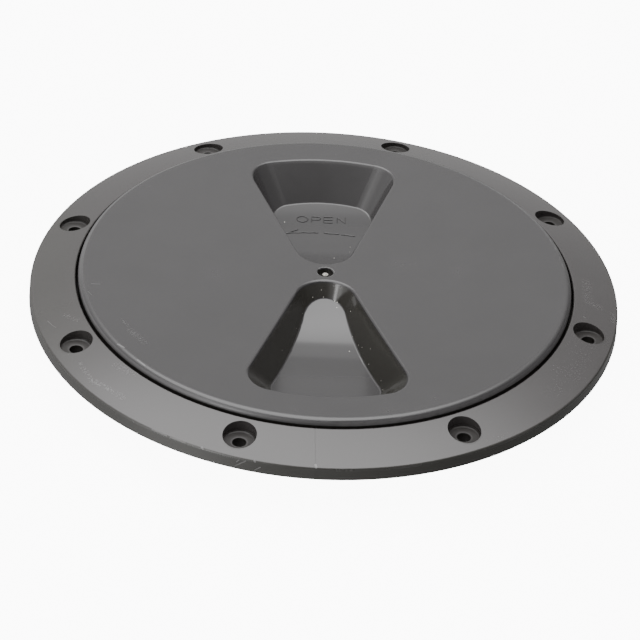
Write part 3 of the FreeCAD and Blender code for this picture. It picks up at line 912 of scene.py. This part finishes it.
class DECKPLATE_OT_parting_line(bpy.types.Operator):
    """Run the mould's parting line over the flange's top and down its side wall"""
    bl_idname = "deckplate.parting_line"
    bl_label = "Add the parting line"

    def execute(self, context):
        form, line = context.scene.plate_form, context.scene.plate_parting_line
        start, foot = form.pocket_radius + line.end_gap, line.end_gap
        stroke = over_flange(line.azimuth, line.lean, form, start, foot, line.width / 2)
        dress(beads("parting_line", [stroke], line.width, line.relief), "ring")
        return {"FINISHED"}


# Brightness of the studio at heights above the horizon, in degrees: dark floor, grey walls, bright panel
SKY_LEVELS = (
    (-90, 0.4), (-20, 0.45), (-5, 0.75), (2, 0.95), (8, 1.08), (13, 1.1), (18, 0.96), (24, 1.08), (31, 1.38),
    (35, 1.42), (39, 1.45), (44, 1.58), (47.2, 1.7), (48.8, 2.3), (54.8, 2.8), (56, 3.4), (57.5, 5.4),
    (60, 6.3), (63, 6.7), (68, 7.0), (90, 7.0),
)


def unit_vector(azimuth, elevation):
    """Unit vector at an azimuth from +Y towards +X and an elevation, in radians."""
    level = math.cos(elevation)
    return math.sin(azimuth) * level, math.cos(azimuth) * level, math.sin(elevation)


def towards(shading, direction, azimuth, elevation):
    """Cosine of the angle to a direction, in degrees to the right of straight back and up."""
    unit = unit_vector(math.radians(azimuth), math.radians(elevation))
    return shading.vector_math("DOT_PRODUCT", direction, unit, output=1)


class DECKPLATE_OT_stage(bpy.types.Operator):
    """Set the camera, the floor and the light"""
    bl_idname = "deckplate.stage"
    bl_label = "Set the stage"

    def execute(self, context):
        stage = context.scene.plate_stage
        self.set_camera(context, stage)
        self.lay_floor(stage)
        self.light_world(context, stage)
        return {"FINISHED"}

    def set_camera(self, context, stage):
        azimuth, elevation = stage.camera_azimuth, stage.camera_elevation
        ahead = Vector(unit_vector(azimuth, -elevation))
        data = bpy.data.cameras.new("camera")
        data.lens = stage.lens
        camera = bpy.data.objects.new("camera", data)
        context.scene.collection.objects.link(camera)
        camera.location = Vector(stage.camera_target) - ahead * stage.camera_distance
        camera.rotation_mode = "QUATERNION"
        camera.rotation_quaternion = ahead.to_track_quat("-Z", "Y") @ Quaternion((0, 0, 1), stage.camera_roll)
        context.scene.camera = camera

    def lay_floor(self, stage):
        """A flat square, level with the lowest point of the plate, that can be seen through from below."""
        half = stage.floor_size / 2
        level = cad_bounds[0][2]
        corners = ((-half, -half), (half, -half), (half, half), (-half, half))
        points = np.array([(x, y, level) for x, y in corners])
        floor = mesh_object("floor", points, [[0, 1, 2, 3]])
        material = bpy.data.materials.new("floor")
        material.use_nodes = True
        shading = Shading(material.node_tree)
        upper_face = shading.node("ShaderNodeBsdfPrincipled", inputs={
            "Base Color": rgba(stage.floor_colour), "Roughness": 0.9, "Specular IOR Level": 0.1,
            "Emission Color": (1, 1, 1, 1), "Emission Strength": stage.floor_glow})
        lower_face = shading.node("ShaderNodeBsdfTransparent")
        from_below = shading.node("ShaderNodeNewGeometry", output="Backfacing")
        surface = shading.node("ShaderNodeMixShader", inputs={0: from_below, 1: upper_face, 2: lower_face})
        shading.node("ShaderNodeOutputMaterial", inputs={"Surface": surface})
        floor.data.materials.append(material)
        floor.visible_glossy = False
        floor.visible_diffuse = False

    def light_world(self, context, stage):
        """Soft studio light: a broad bright panel overhead, grey walls, a window at the left in front.

        Directions are turned so that their parts point to the right, away from the camera, and up. Below the
        horizon the floor takes the walls' place.
        """
        world = bpy.data.worlds.new("studio")
        world.use_nodes = True
        context.scene.world = world
        shading = Shading(world.node_tree)
        direction = shading.node("ShaderNodeTexCoord", output="Generated")
        direction = shading.node("ShaderNodeVectorRotate", {"rotation_type": "Z_AXIS"},
                                 {"Vector": direction, "Angle": stage.camera_azimuth})
        _, _, up = shading.parts(direction)
        below = up.fade(-0.1, -0.35)
        strength = self.lit_share(shading, direction) * (1 - below) * stage.overhead
        sky = shading.node("ShaderNodeBackground", inputs={
            "Color": self.sky(shading, direction), "Strength": strength})
        strength = self.lit_floor(shading, direction) * below + self.window(shading, direction) * (1 - below)
        extra = shading.node("ShaderNodeBackground", inputs={"Strength": strength})
        surface = shading.node("ShaderNodeAddShader", inputs={0: sky, 1: extra})
        shading.node("ShaderNodeOutputWorld", inputs={"Surface": surface})

    def sky(self, shading, direction):
        """Brightness of the panel and walls: a ramp over the height of a direction, as SKY_LEVELS gives it.

        The panel's edge reaches lower on both sides of what faces the camera, so the height is raised there.
        """
        right, away, up = shading.parts(direction)
        reach = 0.31
        leftwards, rightwards = (right * -1).clamp(0, reach), right.clamp(0, reach)
        raised = up + (0.28 * leftwards + 0.15 * rightwards) * away.fade(-0.2, 0.3)
        top = SKY_LEVELS[-1][1]
        stops = [((math.sin(math.radians(angle)) + 1) / 2, level / top) for angle, level in SKY_LEVELS]
        return shading.node("ShaderNodeValToRGB", {"stops": stops}, {0: raised * 0.5 + 0.5})

    def lit_share(self, shading, direction):
        """The share of that light which is left: the walls are dark on the right and behind the camera.

        A band on the right and both sides of the panel's foot are a little darker too.
        """
        right, away, up = shading.parts(direction)
        under_panel = up.fade(0.93, 0.84)
        on_right = towards(shading, direction, 100, 0).fade(0, 0.7) * up.fade(0.97, 0.87)
        dark_right = (0.85 - 0.25 * up.fade(0.25, 0.5)) * on_right
        dark_behind = 0.8 * away.fade(-0.2, -0.6) * under_panel
        band = 0.15 * right.fade(-0.04, 0.06) * up.fade(0.25, 0.45) * under_panel
        sides = 0.06 * right.math("ABSOLUTE").fade(0.02, 0.1) * up.fade(0.7, 0.66) * up.fade(0.4, 0.5)
        return (1 - dark_right.math("MAXIMUM", dark_behind)) * (1 - band) * (1 - sides)

    def window(self, shading, direction):
        """Brightness of the window at the left in front: broad, brighter in its middle, with a small core."""
        _, _, up = shading.parts(direction)
        level = shading.vector_math("NORMALIZE", shading.vector_math("MULTIPLY", direction, (1, 1, 0)))
        beside = towards(shading, level, -135, 0)
        broad = (1.0 * beside.fade(0.72, 0.93) + 2.6 * beside.fade(0.93, 0.985)) * up.fade(0.85, 0.6)
        return broad + 9 * towards(shading, direction, -143, 11).fade(0.988, 0.998)

    def lit_floor(self, shading, direction):
        """Brightness of the floor, which is lit from the window."""
        left_front = towards(shading, direction, -130, 0)
        return 0.42 + 0.75 * left_front.fade(-0.3, 0.9) + 1.85 * left_front.fade(0.76, 0.86)


class DECKPLATE_PT_panel(bpy.types.Panel):
    """Lists the sizes, colours and steps of the deck plate"""
    bl_idname = "DECKPLATE_PT_panel"
    bl_label = "Deck plate"
    bl_space_type = "VIEW_3D"
    bl_region_type = "UI"
    bl_category = "Deck plate"

    def draw(self, context):
        for group in GROUPS:
            settings = getattr(context.scene, group)
            column = self.layout.box().column()
            for name in settings.bl_rna.properties.keys():
                if name not in ("rna_type", "name"):
                    column.prop(settings, name)
        for operator in OPERATORS:
            self.layout.operator(operator.bl_idname)


GROUPS = {
    "plate_form": PlateForm,
    "plate_finish": PlateFinish,
    "plate_lettering": PlateLettering,
    "plate_parting_line": PlatePartingLine,
    "plate_stage": PlateStage,
}
OPERATORS = (
    DECKPLATE_OT_ring,
    DECKPLATE_OT_lid,
    DECKPLATE_OT_seal,
    DECKPLATE_OT_lettering,
    DECKPLATE_OT_arrow,
    DECKPLATE_OT_parting_line,
    DECKPLATE_OT_stage,
)


def register():
    for name, group in GROUPS.items():
        bpy.utils.register_class(group)
        setattr(bpy.types.Scene, name, bpy.props.PointerProperty(type=group))
    for operator in OPERATORS:
        bpy.utils.register_class(operator)
    bpy.utils.register_class(DECKPLATE_PT_panel)


def unregister():
    bpy.utils.unregister_class(DECKPLATE_PT_panel)
    for operator in reversed(OPERATORS):
        bpy.utils.unregister_class(operator)
    for name, group in reversed(GROUPS.items()):
        delattr(bpy.types.Scene, name)
        bpy.utils.unregister_class(group)


def main():
    register()
    bpy.ops.deckplate.ring()
    bpy.ops.deckplate.lid()
    bpy.ops.deckplate.seal()
    bpy.ops.deckplate.lettering()
    bpy.ops.deckplate.arrow()
    bpy.ops.deckplate.parting_line()
    bpy.ops.deckplate.stage()


if __name__ == "__main__":
    main()
